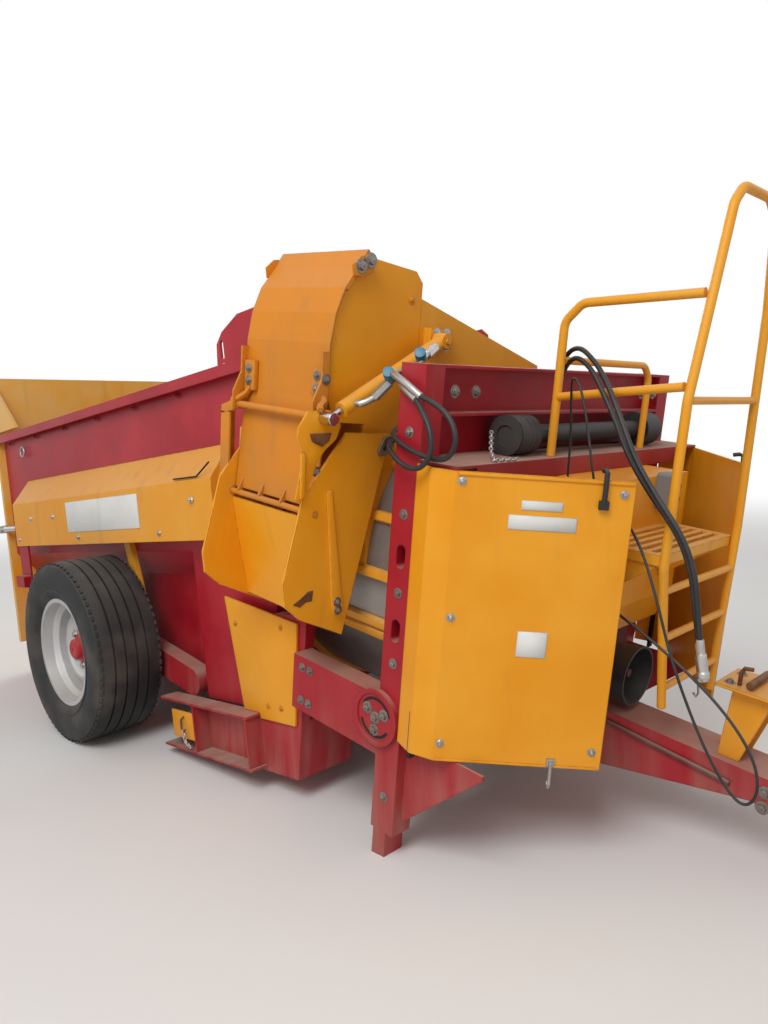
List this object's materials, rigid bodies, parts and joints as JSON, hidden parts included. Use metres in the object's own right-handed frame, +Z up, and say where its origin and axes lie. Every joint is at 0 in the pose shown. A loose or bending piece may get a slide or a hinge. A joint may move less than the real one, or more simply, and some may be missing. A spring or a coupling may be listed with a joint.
{
  "type": "straw blower",
  "caption": "Towed straw blower: open tub with floor conveyor, beaters, side chute fan, folding tailgate, wheels on trailing arms, and a pitched front frame with drawbar, ladder and guards.",
  "frame": {"origin": "centre of the machine's length and width, at the ground", "axes": "+X forward along the machine to the drawbar, +Y to its left, +Z up"},
  "size_m": [5.8212, 2.49, 2.4709],
  "materials": {
    "red_paint": "gloss, worn",
    "yellow_paint": "gloss, chipped and rusty at edges",
    "drum_steel": "dull",
    "tyre_rubber": "matt, dusty",
    "rim_silver": "satin",
    "chrome_rod": "polished",
    "black_plastic": "matt",
    "grey_plastic": "matt",
    "lamp_plastic": "gloss",
    "gearbox_iron": "painted"
  },
  "bodies": {
    "root": {"chute_duct": "yellow_paint", "control_box": "grey_plastic", "deck": "red_paint", "drawbar": "red_paint", "drawbar_stand": "yellow_paint", "ear_plate_left": "red_paint", "ear_plate_right": "red_paint", "fan_hood": "yellow_paint", "fan_housing": "drum_steel", "floor_conveyor": "drum_steel", "front_guard_left": "yellow_paint", "front_guard_right": "yellow_paint", "front_post_left": "red_paint", "front_post_right": "red_paint", "gearbox": "gearbox_iron", "hand_rail": "yellow_paint", "ladder": "yellow_paint", "lower_beam": "red_paint", "platform": "yellow_paint", "pto_guard": "black_plastic", "rear_lamp_left": "lamp_plastic", "rear_lamp_right": "lamp_plastic", "side_guard_left": "yellow_paint", "side_guard_right": "yellow_paint", "sill_left": "red_paint", "sill_right": "red_paint", "skirt_panel_left": "yellow_paint", "skirt_panel_right": "yellow_paint", "stored_drive_shaft": "black_plastic", "transmission_cover": "yellow_paint", "tub_floor": "red_paint", "tub_front_wall": "red_paint", "tub_side_left": "red_paint", "tub_side_right": "red_paint", "upper_beam": "red_paint", "wheel_arm_left": "red_paint", "wheel_arm_right": "red_paint", "wheel_strut_left": "yellow_paint", "wheel_strut_right": "yellow_paint"},
    "wheel_right": {"tyre_right": "tyre_rubber", "rim_right": "rim_silver"},
    "wheel_left": {"tyre_left": "tyre_rubber", "rim_left": "rim_silver"},
    "lower_beater": {"beater_lower": "red_paint"},
    "upper_beater": {"beater_upper": "red_paint"},
    "fan": {"fan_rotor": "drum_steel"},
    "gate": {"tailgate": "yellow_paint"},
    "gate_ram_right": {"gate_barrel_right": "yellow_paint"},
    "gate_ram_left": {"gate_barrel_left": "yellow_paint"},
    "gate_piston_right": {"gate_rod_right": "chrome_rod"},
    "gate_piston_left": {"gate_rod_left": "chrome_rod"},
    "deflector": {"deflector_skin": "yellow_paint"},
    "flap": {"end_flap": "yellow_paint"},
    "chute_ram": {"chute_barrel": "yellow_paint"},
    "chute_piston": {"chute_rod": "chrome_rod"}
  },
  "joints": [
    {"name": "wheel_right_spin", "type": "hinge", "parent": "root", "child": "wheel_right", "pos_m": [-1.048, 0, 0.52], "axis": [0, 1, 0], "continuous": true},
    {"name": "wheel_left_spin", "type": "hinge", "parent": "root", "child": "wheel_left", "pos_m": [-1.048, 0, 0.52], "axis": [0, 1, 0], "continuous": true},
    {"name": "lower_beater_spin", "type": "hinge", "parent": "root", "child": "lower_beater", "pos_m": [0.08818, 0, 0.78722], "axis": [0, 1, 0], "continuous": true},
    {"name": "upper_beater_spin", "type": "hinge", "parent": "root", "child": "upper_beater", "pos_m": [0.20258, 0, 1.34848], "axis": [0, 1, 0], "continuous": true},
    {"name": "fan_spin", "type": "hinge", "parent": "root", "child": "fan", "pos_m": [0.91173, 0, 1.14519], "axis": [0.9882, 0, -0.153], "continuous": true},
    {"name": "gate_hinge", "type": "hinge", "parent": "root", "child": "gate", "pos_m": [-2.72028, 0, 0.16501], "axis": [0, -1, 0], "range_deg": [0, 84]},
    {"name": "gate_ram_right_swing", "type": "hinge", "parent": "root", "child": "gate_ram_right", "pos_m": [-1.18193, -0.888, 1.22462], "axis": [0, -1, 0], "range_deg": [0, 18.22]},
    {"name": "gate_piston_right_slide", "type": "slide", "parent": "gate_ram_right", "child": "gate_piston_right", "axis": [-0.9966, 0, -0.0819], "range_m": [0, 1.0597]},
    {"name": "gate_ram_left_swing", "type": "hinge", "parent": "root", "child": "gate_ram_left", "pos_m": [-1.18193, 0.888, 1.22462], "axis": [0, -1, 0], "range_deg": [0, 18.22]},
    {"name": "gate_piston_left_slide", "type": "slide", "parent": "gate_ram_left", "child": "gate_piston_left", "axis": [-0.9966, 0, -0.0819], "range_m": [0, 1.0597]},
    {"name": "deflector_hinge", "type": "hinge", "parent": "root", "child": "deflector", "pos_m": [0.99802, -0.885, 2.35625], "axis": [-0.9882, 0, 0.153], "range_deg": [0, 30]},
    {"name": "flap_hinge", "type": "hinge", "parent": "deflector", "child": "flap", "pos_m": [0.85452, -1.1, 1.42929], "axis": [-0.9882, 0, 0.153], "range_deg": [-15.1, 0]},
    {"name": "chute_ram_swing", "type": "hinge", "parent": "root", "child": "chute_ram", "pos_m": [1.26801, -0.5, 2.04123], "axis": [-0.9882, 0, 0.153], "range_deg": [0, 19.04]},
    {"name": "chute_piston_slide", "type": "slide", "parent": "chute_ram", "child": "chute_piston", "axis": [-0.0703, -0.8883, -0.4538], "range_m": [0, 0.1971]}
  ],
  "couplings": [
    {"joint": "gate_ram_right_swing", "follows": "gate_hinge", "ratio": 0.21571},
    {"joint": "gate_piston_right_slide", "follows": "gate_hinge", "m_per_rad": 0.72145},
    {"joint": "gate_ram_left_swing", "follows": "gate_hinge", "ratio": 0.21571},
    {"joint": "gate_piston_left_slide", "follows": "gate_hinge", "m_per_rad": 0.72145},
    {"joint": "flap_hinge", "follows": "deflector_hinge", "ratio": -0.5},
    {"joint": "chute_ram_swing", "follows": "deflector_hinge", "ratio": 0.63135},
    {"joint": "chute_piston_slide", "follows": "deflector_hinge", "m_per_rad": 0.37256}
  ]
}
